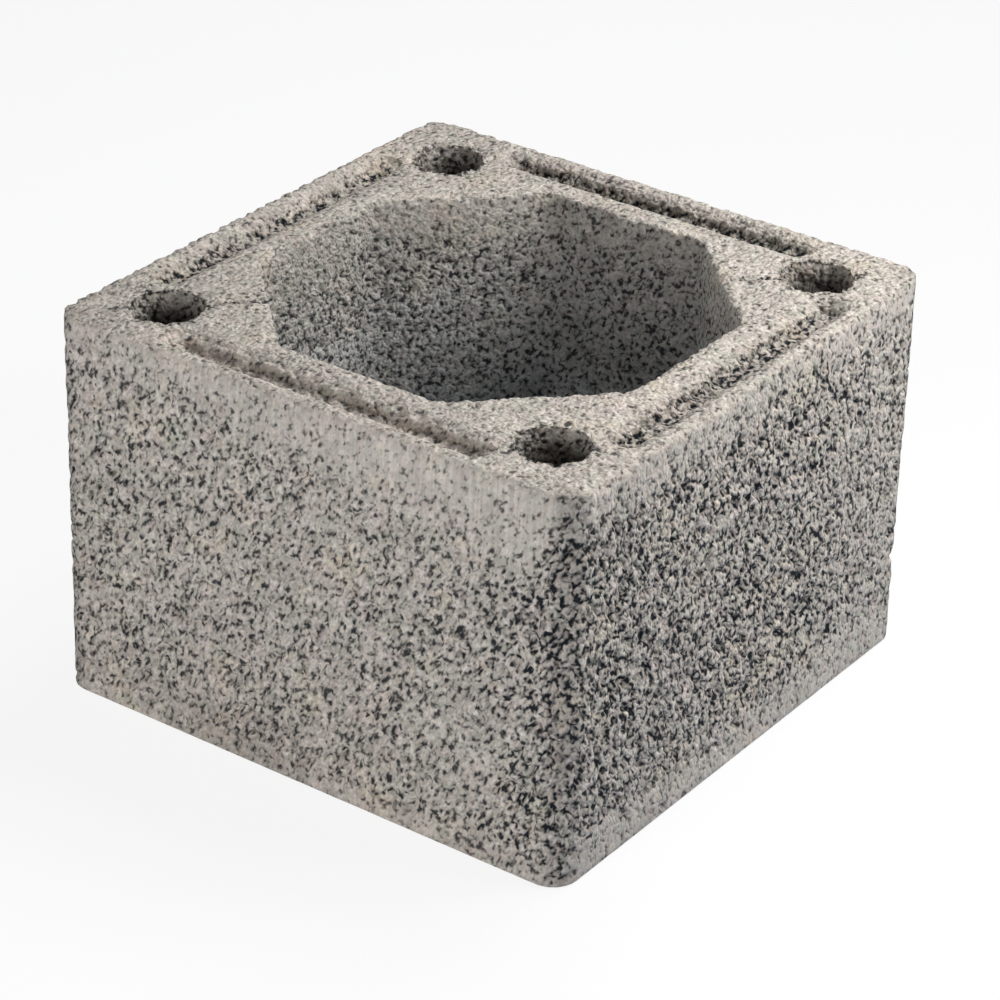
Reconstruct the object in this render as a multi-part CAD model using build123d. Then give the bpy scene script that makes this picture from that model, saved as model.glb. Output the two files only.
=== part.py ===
"""Pumice flue block: one course of a chimney casing, cast in a single piece.

The block stands on its bed with the octagonal flue upright. The origin is the
middle of the bed, +Z is up, and all sizes are in millimetres.
"""

import os
from math import radians, tan

from build123d import *

# Outside of the block
block_width = 360.0
block_depth = 360.0
block_height = 245.0
corner_radius = 17.0
arris_radius = 2.5

# Octagonal flue, straight through from top to bed
flue_across_flats = 260.0
flue_corner_radius = 8.0
flue_mouth_radius = 2.5

# Holes for reinforcing bars, one near each corner, straight through
bar_hole_diameter = 40.0
bar_hole_inset = 47.0

# Mortar grooves in the top, one along each side between two bar holes
groove_inset = 21.0
groove_width = 20.0
groove_depth = 9.0
groove_draft = 24.0
groove_shoulder_depth = 2.0
groove_shoulder_draft = 52.0
groove_run_out = 10.0
groove_tip_width = 13.0
groove_tip_depth = 1.5
groove_hole_gap = 1.0

# Every cutting core stands proud of the face it cuts by this much
core_overrun = 5.0

# Places that follow from the sizes above
bar_hole_x = block_width / 2 - bar_hole_inset
bar_hole_y = block_depth / 2 - bar_hole_inset
bar_hole_radius = bar_hole_diameter / 2
core_height = block_height + 2 * core_overrun


def outer_block():
    """The plain block with its four upright corners and outer edges rounded."""
    body = extrude(RectangleRounded(block_width, block_depth, corner_radius), block_height)
    levels = body.faces().sort_by(Axis.Z)
    return fillet(levels[0].edges() + levels[-1].edges(), arris_radius)


def flue_core():
    """The octagonal core of the flue, its upright corners softened."""
    plan = RegularPolygon(flue_across_flats / 2, 8, major_radius=False, rotation=180 / 8)
    plan = fillet(plan.vertices(), flue_corner_radius)
    return Pos(0, 0, -core_overrun) * extrude(plan, core_height)


def bar_hole_cores():
    """Four round cores, one at each corner of the block."""
    core = extrude(Circle(bar_hole_radius), core_height)
    corners = [(x, y) for x in (-bar_hole_x, bar_hole_x) for y in (-bar_hole_y, bar_hole_y)]
    return [Pos(x, y, -core_overrun) * core for x, y in corners]


def groove_section(along, width, depth):
    """A cross-section of a groove at one place: worn shoulders, drawn walls and a flat floor."""
    shoulder = groove_shoulder_depth * depth / groove_depth
    wall_slope = tan(radians(groove_draft))
    shoulder_slope = tan(radians(groove_shoulder_draft))
    half_mouth = width / 2
    half_neck = half_mouth - shoulder * shoulder_slope
    half_floor = half_neck - (depth - shoulder) * wall_slope
    half_head = half_mouth + core_overrun * shoulder_slope
    outline = Polyline(
        (-half_head, core_overrun),
        (-half_neck, -shoulder),
        (-half_floor, -depth),
        (half_floor, -depth),
        (half_neck, -shoulder),
        (half_head, core_overrun),
        close=True,
    )
    across = Plane(origin=(along, 0, 0), x_dir=(0, 1, 0), z_dir=(1, 0, 0))
    return across * make_face(outline)


def groove_core(half_length):
    """A straight groove along X that fades out towards both ends."""
    full = half_length - groove_run_out
    middle = extrude(groove_section(-full, groove_width, groove_depth), 2 * full)
    run_outs = [
        loft([
            groove_section(side * full, groove_width, groove_depth),
            groove_section(side * half_length, groove_tip_width, groove_tip_depth),
        ])
        for side in (-1, 1)
    ]
    return middle + run_outs


def groove_cores():
    """The four grooves, each stopping short of the bar holes at its ends."""
    stop = bar_hole_radius + groove_hole_gap
    along_x = groove_core(bar_hole_x - stop)
    along_y = Rot(0, 0, 90) * groove_core(bar_hole_y - stop)
    from_middle_x = block_width / 2 - groove_inset
    from_middle_y = block_depth / 2 - groove_inset
    cores = [Pos(0, side * from_middle_y, block_height) * along_x for side in (-1, 1)]
    cores += [Pos(side * from_middle_x, 0, block_height) * along_y for side in (-1, 1)]
    return cores


def flue_shell():
    """The block with its flue, the edges of both flue mouths softened."""
    shell = outer_block() - flue_core()
    levels = shell.faces().filter_by(Plane.XY).sort_by(Axis.Z)
    mouths = levels[0].inner_wires()[0].edges() + levels[-1].inner_wires()[0].edges()
    return fillet(mouths, flue_mouth_radius)


flue_block = flue_shell() - bar_hole_cores() - groove_cores()

os.makedirs("parts", exist_ok=True)
export_step(flue_block, "parts/flue_block.step")
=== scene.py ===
"""Pumice flue block: the cast block with its open grain, standing on a pale studio floor."""

import math

import bpy
from mathutils import Matrix, Vector


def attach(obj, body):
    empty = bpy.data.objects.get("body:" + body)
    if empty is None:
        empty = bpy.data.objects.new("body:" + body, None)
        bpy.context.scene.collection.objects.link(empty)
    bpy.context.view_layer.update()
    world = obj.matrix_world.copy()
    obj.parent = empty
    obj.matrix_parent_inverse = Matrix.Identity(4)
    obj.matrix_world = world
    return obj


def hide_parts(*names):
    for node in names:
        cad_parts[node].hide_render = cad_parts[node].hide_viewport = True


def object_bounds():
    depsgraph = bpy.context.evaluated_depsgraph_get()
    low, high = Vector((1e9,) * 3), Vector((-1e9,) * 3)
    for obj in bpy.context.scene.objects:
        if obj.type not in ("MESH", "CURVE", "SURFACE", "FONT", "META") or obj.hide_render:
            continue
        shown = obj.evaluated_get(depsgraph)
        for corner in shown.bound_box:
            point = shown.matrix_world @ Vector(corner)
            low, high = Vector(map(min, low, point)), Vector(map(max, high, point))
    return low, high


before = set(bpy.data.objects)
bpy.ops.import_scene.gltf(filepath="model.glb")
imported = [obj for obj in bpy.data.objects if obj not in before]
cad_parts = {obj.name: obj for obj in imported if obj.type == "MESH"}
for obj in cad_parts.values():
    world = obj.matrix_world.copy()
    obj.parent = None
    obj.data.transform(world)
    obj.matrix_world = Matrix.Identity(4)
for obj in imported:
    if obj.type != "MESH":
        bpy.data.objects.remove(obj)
cad_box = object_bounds()

MM = 0.001
TO_MM = 1000.0
SLANT = math.sqrt(0.5)

# The block, in millimetres, as it was cast
HALF_PLAN = round(cad_box[1][0] * TO_MM, 2)
HEIGHT = round(cad_box[1][2] * TO_MM, 2)
CORNER_RADIUS = 17.0
FLUE_HALF = 130.0
BAR_HOLE_PLACE = 133.0
BAR_HOLE_RADIUS = 20.0
GROOVE_PLACE = 159.0
GROOVE_HALF_WIDTH = 10.0
GROOVE_HALF_LENGTH = 112.0

# The darker blot at the foot of the front, in millimetres
BLOT_PLACE = -45.0
BLOT_HALF_WIDTH = 70.0
BLOT_HEIGHT = 40.0

# The skin of the block's mesh: voxels in millimetres, the weld in metres
VOXEL = 1.4
TRIANGLES = 190000
WELD_GAP = 1e-6

# Widths of the grain, in millimetres
GRAIN = 3.9
SPECK = 3.1
GRIT = 1.8
CAVITY = 5.0
CLUMP = 6.5

# How deep the cavities are, in millimetres, and the share of the whole relief that is pressed in
CAVITY_DEPTH = 2.2
RELIEF_SHARE = 1.0

# How the grains are jostled, in millimetres, and how far they lean for each millimetre down
JOSTLE_WIDTH = 8.0
JOSTLE = 2.4
LEAN = 0.3

# Widths of slower changes over the faces, in millimetres
RAGGED = 20.0
DRIFT = 75.0
WAVE = 60.0
CLOUD = 45.0
PATCH = 11.0
TINT = 9.0

# The mould's upright drag marks: width in millimetres, and width over height
DRAG = 1.5
DRAG_SQUEEZE = 0.035

# How open the grain is on each surface, before it varies
OPEN_SIDE = 0.7
OPEN_TOP = 0.3
OPEN_FLUE = 0.72
OPEN_HOLE = 0.72
OPEN_BED = 0.2
MOST_OPEN = 1.3

# Cement paste, as colours on a screen
PASTE_DULL = (200, 190, 178)
PASTE_PALE = (226, 215, 203)
PASTE_WARM = (206, 186, 170)
PASTE_GREEN = (186, 186, 172)

# The finish: shares of red, green and blue that a gap's darkening takes, partly painted shade, how matt
# it is, and its bump in millimetres
GAP_SHADE_TAKES = (1.0, 0.993, 0.982)
ROUGHNESS = 0.94
GLOSS = 0.2
BUMP_HEIGHT = 1.3

# The studio: metres, colours in linear light, and lamps with their power in watts
FLOOR_REACH = 6.0
FLOOR_GREY = (0.6, 0.6, 0.6)
FLOOR_BOUNCE = (0.5, 0.57, 0.68)
FLOOR_GLOW = 1.12
FLOOR_GLOW_SHARE = 0.78
WHITE = (1.0, 1.0, 1.0)
SKY = (0.85, 0.97, 1.15)
SKY_LIGHT = 0.06
LAMPS = {
    "key_light": {"place": (0.139, 0.791, 1.872), "side": 0.9, "power": 19.5},
    "side_light": {"place": (0.666, 0.243, 0.704), "side": 0.5, "power": 5.0},
    "front_light": {"place": (0.0, -1.88, 0.414), "side": 0.9, "power": 17.5},
}
MIDDLE = Vector((0, 0, HEIGHT * MM / 2))

# The camera: turns in degrees, places in metres, focal length in widths of the sensor
AZIMUTH = 35.1233
ELEVATION = 28.8288
ROLL = 1.64953
CAMERA_REACH = 2.215175
CAMERA_SLIDE = 0.004716
CAMERA_RISE = -0.013081
FOCAL = 3.77142
SENSOR = 36.0

# What the mesh carries for its finish
PLACE = "cast_place"
PACKED = "grain_place"
OPEN = "openness"
SKIN = "closed_skin"
MOTTLE_AND_LIGHT = "mottle"


class Wire:
    """One socket of a node tree, for use in plain expressions."""

    def __init__(self, tree, socket=None):
        self.tree = tree
        self.socket = socket

    def make(self, kind, settings=None, sockets=None, out=0):
        """Adds a node: its settings first, then the values or links of its sockets."""
        node = self.tree.nodes.new(kind)
        for name, value in (settings or {}).items():
            setattr(node, name, value)
        for key, value in (sockets or {}).items():
            self.plug(node.inputs[key], value)
        return Wire(self.tree, node.outputs[out] if node.outputs else None)

    def plug(self, socket, value):
        """Links or sets one socket, and fills each part of a wide one from a single number."""
        if isinstance(value, Wire):
            self.tree.links.new(value.socket, socket)
        elif socket.type in {"VECTOR", "RGBA"} and not hasattr(value, "__len__"):
            socket.default_value = (value,) * len(socket.default_value)
        elif socket.type == "RGBA" and len(value) == 3:
            socket.default_value = (*value, 1.0)
        else:
            socket.default_value = value

    def other(self, out):
        """Another output of the same node."""
        return Wire(self.tree, self.socket.node.outputs[out])

    def wide(self, other):
        """True where either side has three parts."""
        mine = self.socket.type in {"VECTOR", "RGBA"}
        if isinstance(other, Wire):
            return mine or other.socket.type in {"VECTOR", "RGBA"}
        return mine or hasattr(other, "__len__")

    def math(self, operation, first, second=0.0):
        wide = self.wide(first) or self.wide(second)
        kind = "ShaderNodeVectorMath" if wide else "ShaderNodeMath"
        return self.make(kind, {"operation": operation}, {0: first, 1: second})

    def __add__(self, other):
        return self.math("ADD", self, other)

    def __radd__(self, other):
        return self.math("ADD", other, self)

    def __sub__(self, other):
        return self.math("SUBTRACT", self, other)

    def __rsub__(self, other):
        return self.math("SUBTRACT", other, self)

    def __mul__(self, other):
        return self.math("MULTIPLY", self, other)

    def __rmul__(self, other):
        return self.math("MULTIPLY", other, self)

    def __truediv__(self, other):
        return self.math("DIVIDE", self, other)

    def __rtruediv__(self, other):
        return self.math("DIVIDE", other, self)

    def __abs__(self):
        return self.math("ABSOLUTE", self)

    def top(self, other):
        """The higher of the two."""
        return self.math("MAXIMUM", self, other)

    def low(self, other):
        """The lower of the two."""
        return self.math("MINIMUM", self, other)

    def root(self):
        return self.math("SQRT", self)

    def step(self, start, end):
        """Goes smoothly from 0 at start to 1 at end."""
        falls = start > end
        low, high = (end, start) if falls else (start, end)
        rise = self.make(
            "ShaderNodeMapRange",
            {"interpolation_type": "SMOOTHSTEP"},
            {"Value": self, "From Min": low, "From Max": high},
        )
        return 1.0 - rise if falls else rise

    def blend(self, low, high):
        """low where this is 0, high where it is 1."""
        if self.wide(low) or self.wide(high):
            kind, a, b, out = "RGBA", 6, 7, 2
        else:
            kind, a, b, out = "FLOAT", 2, 3, 0
        return self.make("ShaderNodeMix", {"data_type": kind}, {0: self, a: low, b: high}, out)

    def parts(self):
        split = self.make("ShaderNodeSeparateXYZ", {}, {0: self})
        return split, split.other(1), split.other(2)

    def join(self, x, y, z):
        return self.make("ShaderNodeCombineXYZ", {}, {0: x, 1: y, 2: z})

    def noise(self, size, detail, rough, seed, out=0):
        """Soft noise around 0.5, about size millimetres wide, moved aside by its seed."""
        return self.make(
            "ShaderNodeTexNoise",
            {"noise_dimensions": "3D"},
            {
                "Vector": self + (seed * 37.0, seed * 19.0, seed * 53.0),
                "Scale": 1.0 / size, "Detail": detail, "Roughness": rough,
            },
            out,
        )

    def swing(self, size, detail, rough, seed):
        """The same noise, around 0."""
        return self.noise(size, detail, rough, seed) - 0.5

    def cells(self, size, feature, seed):
        """Distance from the middle of grains about size millimetres wide, moved aside by a seed."""
        return self.make(
            "ShaderNodeTexVoronoi",
            {"voronoi_dimensions": "3D", "feature": feature},
            {"Vector": self + (seed * 41.0, seed * 23.0, seed * 61.0), "Scale": 1.0 / size},
            "Distance",
        )


def measures(place):
    """Where a point of the block lies, and how far it is from each form, in millimetres."""
    x, y, z = place.parts()
    ax, ay = abs(x), abs(y)
    across, along = ax.top(ay), ax.low(ay)
    inner = HALF_PLAN - CORNER_RADIUS
    qx, qy = (ax - inner).top(0.0), (ay - inner).top(0.0)
    hx, hy = ax - BAR_HOLE_PLACE, ay - BAR_HOLE_PLACE
    return {
        "x": x, "y": y, "z": z, "along": along,
        "edge": (qx * qx + qy * qy).root() + (ax - inner).top(ay - inner).low(0.0) - CORNER_RADIUS,
        "octagon": across.top((ax + ay) * SLANT),
        "from_hole": (hx * hx + hy * hy).root(),
        "from_groove": abs(across - GROOVE_PLACE),
        "from_diagonal": abs(ax - ay),
    }


def zones(place):
    """Where each surface of the casting lies, as masks from 0 to 1, beside its measures.

    A step's two numbers are where its mask is 0 and where it is 1, in millimetres.
    """
    zone = measures(place)
    x, y, z = zone["x"], zone["y"], zone["z"]
    zone["outer"] = zone["edge"].step(-2.2, -0.8)
    zone["flue"] = zone["octagon"].step(FLUE_HALF + 2.6, FLUE_HALF + 1.2)
    zone["hole"] = zone["from_hole"].step(BAR_HOLE_RADIUS + 2.0, BAR_HOLE_RADIUS + 1.0)
    zone["bed"] = z.step(2.5, 1.2)
    zone["corner"] = zone["along"].step(HALF_PLAN - 19.0, HALF_PLAN - 7.0)
    zone["right"] = x.step(HALF_PLAN - 30.0, HALF_PLAN - 6.0)
    zone["right_or_back"] = (x + y).step(-40.0, 40.0)
    zone["left_or_back"] = (y - x).step(-40.0, 40.0)
    mark_grooves(zone)
    mark_mouths(zone)
    return zone


def mark_grooves(zone):
    """Adds the grooves, their worn shoulders and the two creases across the ledge."""
    z, from_groove, from_hole = zone["z"], zone["from_groove"], zone["from_hole"]
    in_length = zone["along"].step(GROOVE_HALF_LENGTH + 4.0, GROOVE_HALF_LENGTH - 5.0)
    on_top = in_length * (1.0 - zone["outer"])
    zone["groove"] = (
        from_groove.step(GROOVE_HALF_WIDTH + 2.0, GROOVE_HALF_WIDTH - 2.0)
        * z.step(HEIGHT - 15.0, HEIGHT - 11.0)
        * on_top
    )
    zone["shoulder"] = (
        abs(from_groove - GROOVE_HALF_WIDTH).step(5.0, 0.5)
        * z.step(HEIGHT - 6.0, HEIGHT - 1.0)
        * on_top
    )
    zone["crease"] = (
        zone["from_diagonal"].step(4.5, 1.5)
        * (zone["x"] * zone["y"]).step(-100.0, 100.0)
        * zone["octagon"].step(FLUE_HALF, FLUE_HALF + 3.0)
        * from_hole.step(BAR_HOLE_RADIUS, BAR_HOLE_RADIUS + 3.0)
        * zone["edge"].step(-20.0, -24.0)
        * z.step(HEIGHT - 5.0, HEIGHT - 2.0)
    )


def mark_mouths(zone):
    """Adds the lips of the bar holes, and the rims of the flue and of the top face."""
    z = zone["z"]
    lip = zone["from_hole"].step(BAR_HOLE_RADIUS + 9.0, BAR_HOLE_RADIUS + 2.0)
    zone["lip"] = lip * z.step(HEIGHT - 10.0, HEIGHT - 4.0)
    mouth = zone["octagon"].step(FLUE_HALF + 7.0, FLUE_HALF + 1.0)
    zone["rim"] = z.step(HEIGHT - 7.0, HEIGHT - 1.5) * mouth.top(zone["edge"].step(-6.0, -1.0))


def by_groove(zone, front, left, others):
    """One value for the front groove, one for the left and one for the other two."""
    return zone["right_or_back"].blend(zone["left_or_back"].blend(front, left), others)


def closed_skin(zone, ragged, drift):
    """Where the mould drew a skin over the grain, along the top and the foot of a side."""
    z, right = zone["z"], zone["right"]
    near_corner = (zone["x"] - zone["y"]).step(60.0, 2.0 * HALF_PLAN - 30.0)
    top_band = 12.0 + near_corner * right.blend(32.0, 12.0) + 40.0 * drift
    top_skin = (z - (HEIGHT - top_band) + 60.0 * ragged).step(-22.0, 20.0)
    foot_band = 2.0 + 18.0 * right + 26.0 * drift
    foot_skin = (foot_band - z + 50.0 * ragged).step(-20.0, 18.0)
    return top_skin.top(foot_skin)


def open_side(zone, ragged, drift, skin):
    """How open the grain is on the four sides."""
    to_right = zone["x"].step(HALF_PLAN - 80.0, HALF_PLAN - 8.0)
    to_back = zone["y"].step(20.0, HALF_PLAN - 10.0)
    side = OPEN_SIDE + 0.36 * drift + 0.5 * ragged + 0.24 * to_right
    side = side + 0.14 * zone["corner"] - 0.2 * zone["right"] * to_back
    return side * (1.0 - 0.6 * skin * (1.0 - 0.5 * zone["corner"]))


def open_flue(zone, ragged, drift):
    """How open the grain is on the walls of the flue, less so near its mouth."""
    off_back = zone["y"].step(FLUE_HALF - 4.0, FLUE_HALF - 30.0)
    # Near the mouth the back wall keeps more of its open grain, which paints it darker there as shade
    high = (zone["z"] + 60.0 * ragged).step(HEIGHT - 42.0, HEIGHT - 8.0) * off_back.blend(0.5, 1.0)
    return (OPEN_FLUE + 0.25 * drift + 0.35 * ragged) * (1.0 - 0.45 * high)


def open_top(zone, ragged):
    """How open the grain is on the top face, and more so low in its grooves."""
    low_in_groove = zone["groove"] * zone["z"].step(HEIGHT - 3.0, HEIGHT - 8.0)
    top = OPEN_TOP + 0.75 * ragged + 0.1 * zone["groove"]
    top = top + low_in_groove * by_groove(zone, 0.16, 0.5, 0.75)
    return top + 0.4 * zone["lip"] + 0.6 * zone["crease"]


def openness(place, zone):
    """How open the grain is, from 0 for closed, and where the sides have a closed skin."""
    ragged = place.swing(RAGGED, detail=3.0, rough=0.65, seed=3)
    drift = place.swing(DRIFT, detail=2.0, rough=0.5, seed=5)
    skin = closed_skin(zone, ragged, drift)
    amount = zone["outer"].blend(open_top(zone, ragged), open_side(zone, ragged, drift, skin))
    amount = zone["flue"].blend(amount, open_flue(zone, ragged, drift))
    amount = zone["hole"].blend(amount, OPEN_HOLE + 0.4 * ragged)
    amount = zone["bed"].blend(amount, OPEN_BED + 0.4 * ragged)
    return amount.top(0.0).low(MOST_OPEN), skin * zone["outer"] * (1.0 - 0.5 * zone["corner"])


def packed_place(place, zone):
    """Where a point lies among the grains, which the mould has drawn out upright."""
    inside = (zone["edge"] / (FLUE_HALF - HALF_PLAN)).top(0.0).low(1.0)
    below = zone["z"] - HEIGHT
    flow = place.join(
        0.95 * (zone["x"] - LEAN * below),
        0.85 * (zone["y"] + LEAN * below),
        below * inside.blend(0.68, 0.85),
    )
    aside = flow.noise(JOSTLE_WIDTH, detail=2.0, rough=0.6, seed=0, out="Color")
    return flow + (aside - 0.5) * JOSTLE


def cavity(packed, amount):
    """How far a point lies inside one of the larger cavities, which the mesh itself has."""
    return packed.swing(CAVITY, detail=0.0, rough=0.5, seed=7) - amount.blend(0.3, 0.0)


def gaps(packed, amount):
    """The grain that a point lies on, and how far the point lies down a gap beside it."""
    grain = packed.cells(GRAIN, "F1", seed=1)
    inside = packed.cells(GRAIN, "F2", seed=1) - grain
    speck = packed.swing(SPECK, detail=1.0, rough=0.6, seed=9)
    crevice = (0.3 - inside) * amount.blend(0.25, 0.8)
    down = crevice + 2.5 * speck + 0.3 * cavity(packed, amount) - amount.blend(0.49, 0.09)
    return grain, down


def relief(place, zone, packed, amount, cavity_depth):
    """Depth of the surface below the cast face, in millimetres."""
    hollow = cavity(packed, amount)
    lumps = zone["groove"].top(zone["lip"] * 0.6)
    chips = zone["rim"].top(zone["lip"] * 0.4)
    clump = place.noise(CLUMP, detail=1.5, rough=0.55, seed=11)
    deep = hollow.step(0.0, 0.28) * cavity_depth
    rough = 1.2 * (hollow + 0.4).top(0.0)
    wave = 0.8 * place.noise(WAVE, detail=2.0, rough=0.5, seed=13)
    crumble = lumps * (6.0 * (clump - 0.38).top(0.0))
    crumble = crumble + chips * (0.2 + 8.0 * (clump - 0.45).top(0.0))
    worn = 1.0 * zone["shoulder"] + 1.2 * zone["crease"] * (clump - 0.3).top(0.0)
    return (deep + rough + wave + crumble + worn) * (1.0 - 0.8 * zone["bed"])


def flue_painted_light(zone):
    """Painted light and shade on the flue's sides at the back: the slanted side paler from mid height up
    and darker low down, the back side darker near the mouth.
    """
    slant = ((zone["y"] - zone["x"]) * SLANT).step(FLUE_HALF - 4.0, FLUE_HALF - 1.0)
    back = zone["y"].step(FLUE_HALF - 4.0, FLUE_HALF - 1.0)
    high = zone["z"].step(HEIGHT - 90.0, HEIGHT - 10.0)
    lit = 0.32 * zone["z"].step(105.0, 165.0) - 0.13
    return slant * (lit - 0.18 * high) - 0.15 * back * high


def foot_blot(zone, patchy):
    """The darker blot at the foot of the front, with a torn border."""
    aside = (zone["x"] - BLOT_PLACE) / BLOT_HALF_WIDTH
    above = zone["z"] / BLOT_HEIGHT
    blot = aside * aside + above * above
    on_front = zone["y"].step(8.0 - HALF_PLAN, 4.0 - HALF_PLAN)
    return (blot + 3.0 * patchy).step(1.0, 0.2) * on_front


def paste_tone_and_painted_light(zone, skin, broad, patchy):
    """How pale the paste is, around 1, with painted light and shade in the bar holes, the grooves and
    the flue.
    """
    # Painted shade down the bar holes, darkest deep inside
    shaded_down_hole = zone["z"].step(HEIGHT - 4.0, HEIGHT - 24.0)
    shade = 1.0 + 0.32 * broad + 0.5 * patchy - 0.16 * foot_blot(zone, patchy)
    shade = shade - zone["hole"] * (0.12 + 0.45 * shaded_down_hole)
    shade = shade - 0.07 * skin - 0.2 * zone["corner"] - 0.06 * (1.0 - zone["outer"])
    # Painted light and shade in the grooves: the front one paler, the right and back ones darker
    return shade + zone["flue"] * flue_painted_light(zone) + zone["groove"] * by_groove(zone, 0.16, 0.0, -0.1)


def paste_mottle_and_light(place, zone, skin):
    """What the paste's red, green and blue are multiplied by at each point, painted light and shade
    included.
    """
    broad = place.swing(CLOUD, detail=2.0, rough=0.6, seed=19)
    patchy = place.swing(PATCH, detail=2.0, rough=0.6, seed=29)
    tint = place.swing(TINT, detail=1.0, rough=0.5, seed=31)
    grime = (broad + 0.6 * patchy).step(0.06, 0.2)
    shade = paste_tone_and_painted_light(zone, skin, broad, patchy)
    sunk = 1.0 - zone["z"] / HEIGHT
    # Painted cool shade deeper down the flue, and a slightly cooler tint on the top and inner faces
    flue_cool_shade = 0.03 + 0.13 * sunk * zone["z"].step(20.0, 110.0)
    cool = zone["flue"].blend(0.02 * (1.0 - zone["outer"]), flue_cool_shade)
    return place.join(
        shade * (1.0 - cool + 0.1 * tint),
        shade * (1.0 - 0.025 * grime - 0.06 * tint),
        shade * (1.0 - 0.075 * grime + cool + 0.06 * tint),
    )


def linear(colour):
    """A colour given as on a screen, 0 to 255, in linear light."""
    shares = [value / 255.0 for value in colour]
    return tuple(s / 12.92 if s <= 0.04045 else ((s + 0.055) / 1.055) ** 2.4 for s in shares)


def empty_tree(owner):
    """The start of a material's or the world's own node tree, with nothing in it."""
    owner.use_nodes = True
    owner.node_tree.nodes.clear()
    return Wire(owner.node_tree)


def paste_colour(grain, loose, skin):
    """Cement paste over the grains, some of them paler, warmer or greener than the rest."""
    pick, _, odd = grain.other("Color").parts()
    paste = (pick * loose + 0.5 * skin).blend(linear(PASTE_DULL), linear(PASTE_PALE))
    paste = (odd.step(0.7, 0.95) * 0.3).blend(paste, linear(PASTE_WARM))
    return (odd.step(0.3, 0.05) * 0.3).blend(paste, linear(PASTE_GREEN))


def pumice_finish():
    """Pumice concrete: pale cement paste over grains, and dark gaps between them, partly darker grains
    and dirt, partly painted shade.
    """
    material = bpy.data.materials.new("pumice_concrete")
    start = empty_tree(material)

    def carried(name, out):
        return start.make("ShaderNodeAttribute", {"attribute_name": name}, {}, out)

    packed = carried(PACKED, "Vector")
    amount = carried(OPEN, "Fac")
    skin = carried(SKIN, "Fac")
    loose = 1.0 - 0.6 * skin
    grain, down = gaps(packed, amount)
    grit = packed.swing(GRIT, detail=0.0, rough=0.5, seed=17)
    # The gaps are darkened in colour: partly darker grains and dirt, partly painted shade of the deep
    # voids
    gap = (down + 0.5 * grit).step(-0.38, 0.4)
    x, y, z = (carried(PLACE, "Vector") * TO_MM).parts()
    drag = start.join(x, y, z * DRAG_SQUEEZE).swing(DRAG, detail=0.0, rough=0.6, seed=23)
    tone = (1.0 + 0.8 * grit * loose) * (1.0 + 0.4 * drag * skin)
    colour = paste_colour(grain, loose, skin) * tone * carried(MOTTLE_AND_LIGHT, "Vector")
    left_in_shaded_gap = amount.step(0.3, 1.0).blend(0.14, 0.01)
    colour = colour * (1.0 - GAP_SHADE_TAKES * (gap * (1.0 - left_in_shaded_gap)))
    height = -BUMP_HEIGHT * down * loose
    bump = start.make("ShaderNodeBump", {}, {"Strength": 1.0, "Distance": MM, "Height": height})
    surface = start.make(
        "ShaderNodeBsdfPrincipled", {},
        {"Base Color": colour, "Roughness": ROUGHNESS, "Normal": bump, "Specular IOR Level": GLOSS},
    )
    start.make("ShaderNodeOutputMaterial", {}, {"Surface": surface})
    return material


def noted(block, name, kind, value):
    """Stores a value at each point of the mesh, for the finish to read."""
    return block.make(
        "GeometryNodeStoreNamedAttribute",
        {"data_type": kind, "domain": "POINT"},
        {"Geometry": block, "Name": name, "Value": value},
    )


def relief_tree(material):
    """Presses the grain of the pumice into the cast faces and notes it for the finish."""
    tree = bpy.data.node_groups.new("pumice_relief", "GeometryNodeTree")
    tree.interface.new_socket("Block", in_out="INPUT", socket_type="NodeSocketGeometry")
    sizes = {}
    for name, size in (("Cavity Depth", CAVITY_DEPTH), ("Relief", RELIEF_SHARE)):
        socket = tree.interface.new_socket(name, in_out="INPUT", socket_type="NodeSocketFloat")
        sizes[socket.identifier] = size
    tree.interface.new_socket("Block", in_out="OUTPUT", socket_type="NodeSocketGeometry")
    start = Wire(tree)
    block = start.make("NodeGroupInput", out="Block")
    spot = start.make("GeometryNodeInputPosition")
    place = spot * TO_MM
    zone = zones(place)
    amount, skin = openness(place, zone)
    packed = packed_place(place, zone)
    cast = noted(block, PLACE, "FLOAT_VECTOR", spot)
    cast = noted(cast, OPEN, "FLOAT", amount)
    cast = noted(cast, SKIN, "FLOAT", skin)
    cast = noted(cast, MOTTLE_AND_LIGHT, "FLOAT_VECTOR", paste_mottle_and_light(place, zone, skin))
    depth = relief(place, zone, packed, amount, block.other("Cavity Depth"))
    inward = start.make("GeometryNodeInputNormal") * (depth * (block.other("Relief") * -MM))
    moved = start.make("GeometryNodeSetPosition", {}, {"Geometry": cast, "Offset": inward})
    # Noted after the move, so that the grain isn't drawn out down the walls of a hollow
    moved = noted(moved, PACKED, "FLOAT_VECTOR", packed)
    solid = start.make("GeometryNodeRealizeInstances", {}, {0: moved})
    done = start.make("GeometryNodeSetMaterial", {}, {"Geometry": solid, "Material": material})
    start.make("NodeGroupOutput", {}, {"Block": done})
    return tree, sizes


def placed(name, data):
    """A new object in the scene."""
    thing = bpy.data.objects.new(name, data)
    bpy.context.scene.collection.objects.link(thing)
    return thing


def worked_out(block):
    """The block as its modifiers leave it."""
    return block.evaluated_get(bpy.context.evaluated_depsgraph_get())


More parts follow.
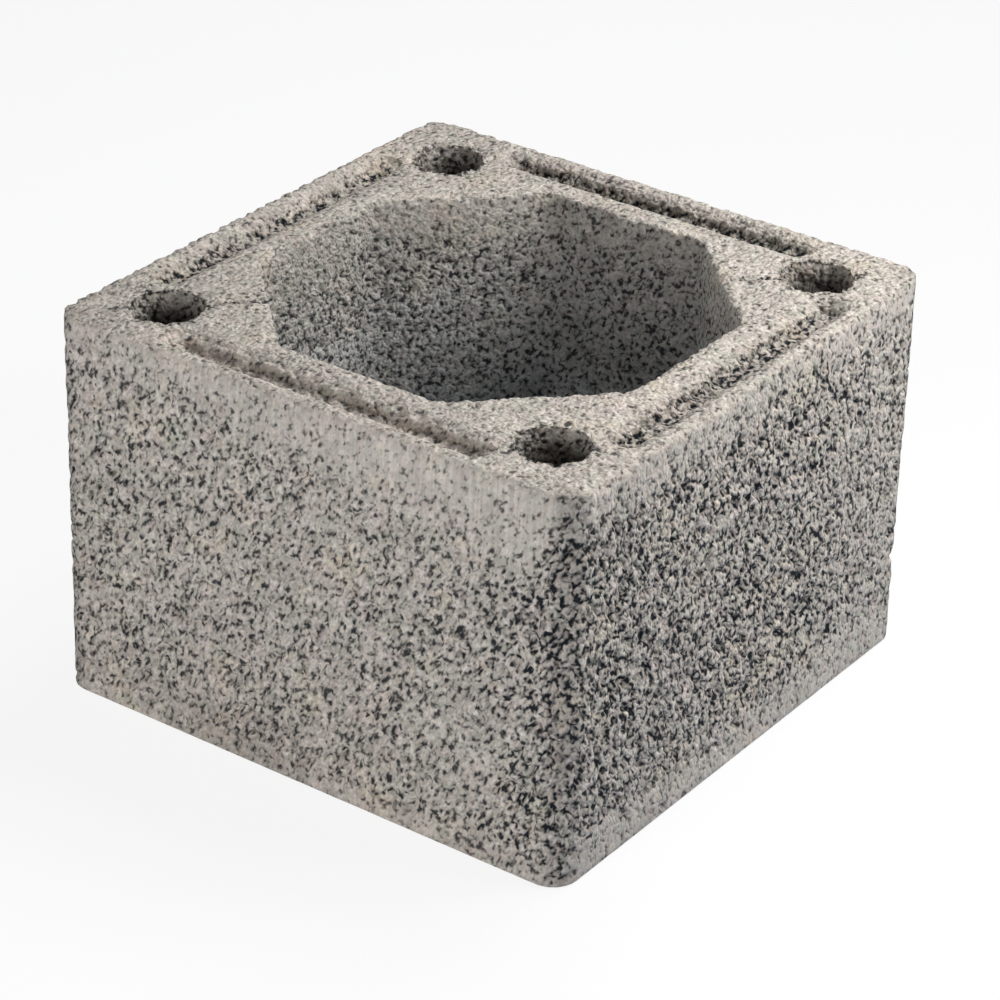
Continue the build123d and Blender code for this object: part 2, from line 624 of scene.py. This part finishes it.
def cast_block(material):
    """The whole block as one closed skin, with its grain in the mesh."""
    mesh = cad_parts["flue_block"].data.copy()
    mesh.materials.clear()
    block = placed("pumice_block", mesh)
    weld = block.modifiers.new("weld", "WELD")
    weld.merge_threshold = WELD_GAP
    remesh = block.modifiers.new("skin", "REMESH")
    remesh.mode = "VOXEL"
    remesh.voxel_size = VOXEL * MM
    remesh.use_smooth_shade = True
    tree, sizes = relief_tree(material)
    grainy = block.modifiers.new("grain", "NODES")
    grainy.node_group = tree
    for identifier, size in sizes.items():
        grainy[identifier] = size
    full = sum(len(face.vertices) - 2 for face in worked_out(block).data.polygons)
    thin = block.modifiers.new("thin", "DECIMATE")
    thin.ratio = min(1.0, TRIANGLES / full)
    thin.use_collapse_triangulate = True
    finished = bpy.data.meshes.new_from_object(worked_out(block))
    block.modifiers.clear()
    block.data = finished
    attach(block, "root")
    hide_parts("flue_block")


def seen(start):
    """1 where the camera sees a surface, also in a mirror or through glass."""
    path = start.make("ShaderNodeLightPath", out="Is Camera Ray")
    return path.top(path.other("Is Glossy Ray")).top(path.other("Is Transmission Ray"))


def studio_floor():
    """A wide pale floor that keeps the block's shadow."""
    mesh = bpy.data.meshes.new("studio_floor")
    corners = [(FLOOR_REACH * x, FLOOR_REACH * y, 0) for x, y in ((-1, -1), (1, -1), (1, 1), (-1, 1))]
    mesh.from_pydata(corners, [], [(0, 1, 2, 3)])
    floor = placed("studio_floor", mesh)
    material = bpy.data.materials.new("studio_white")
    start = empty_tree(material)
    by_camera = seen(start)
    grey = by_camera.blend(FLOOR_BOUNCE, FLOOR_GREY)
    matt = start.make("ShaderNodeBsdfDiffuse", {}, {"Color": grey})
    white = start.make("ShaderNodeEmission", {}, {"Color": WHITE, "Strength": FLOOR_GLOW})
    mixed = start.make("ShaderNodeMixShader", {}, {0: by_camera * FLOOR_GLOW_SHARE, 1: matt, 2: white})
    start.make("ShaderNodeOutputMaterial", {}, {"Surface": mixed})
    mesh.materials.append(material)


def studio_surround():
    """White where the camera sees it, and a faint cool light on the block."""
    world = bpy.data.worlds.new("studio_surround")
    bpy.context.scene.world = world
    start = empty_tree(world)
    by_camera = seen(start)
    glow = start.make(
        "ShaderNodeBackground", {},
        {"Color": by_camera.blend(SKY, WHITE), "Strength": by_camera.blend(SKY_LIGHT, 1.0)},
    )
    start.make("ShaderNodeOutputWorld", {}, {"Surface": glow})


def lamp(name, place, side, power):
    """A square soft light aimed at the middle of the block."""
    light = bpy.data.lights.new(name, "AREA")
    light.size = side
    light.energy = power
    holder = placed(name, light)
    holder.location = place
    holder.rotation_euler = (MIDDLE - Vector(place)).to_track_quat("-Z", "Y").to_euler()


def photo_camera():
    """The camera, placed from the perspective of the block's corners."""
    azimuth, elevation, roll = (math.radians(turn) for turn in (AZIMUTH, ELEVATION, ROLL))
    ahead = Vector((
        -math.sin(azimuth) * math.cos(elevation),
        math.cos(azimuth) * math.cos(elevation),
        -math.sin(elevation),
    ))
    level = Vector((math.cos(azimuth), math.sin(azimuth), 0.0))
    upright = level.cross(ahead)
    right = math.cos(roll) * level + math.sin(roll) * upright
    up = math.cos(roll) * upright - math.sin(roll) * level
    spot = MIDDLE + CAMERA_SLIDE * right + CAMERA_RISE * up - CAMERA_REACH * ahead
    camera = bpy.data.cameras.new("photo_camera")
    camera.sensor_width = SENSOR
    camera.sensor_height = SENSOR
    camera.sensor_fit = "HORIZONTAL"
    camera.lens = SENSOR * FOCAL
    holder = placed("photo_camera", camera)
    turn = Matrix((right, up, -ahead)).transposed()
    holder.matrix_world = Matrix.Translation(spot) @ turn.to_4x4()
    bpy.context.scene.camera = holder


bpy.context.scene.view_settings.view_transform = "Standard"
cast_block(pumice_finish())
studio_floor()
studio_surround()
for name, settings in LAMPS.items():
    lamp(name, **settings)
photo_camera()
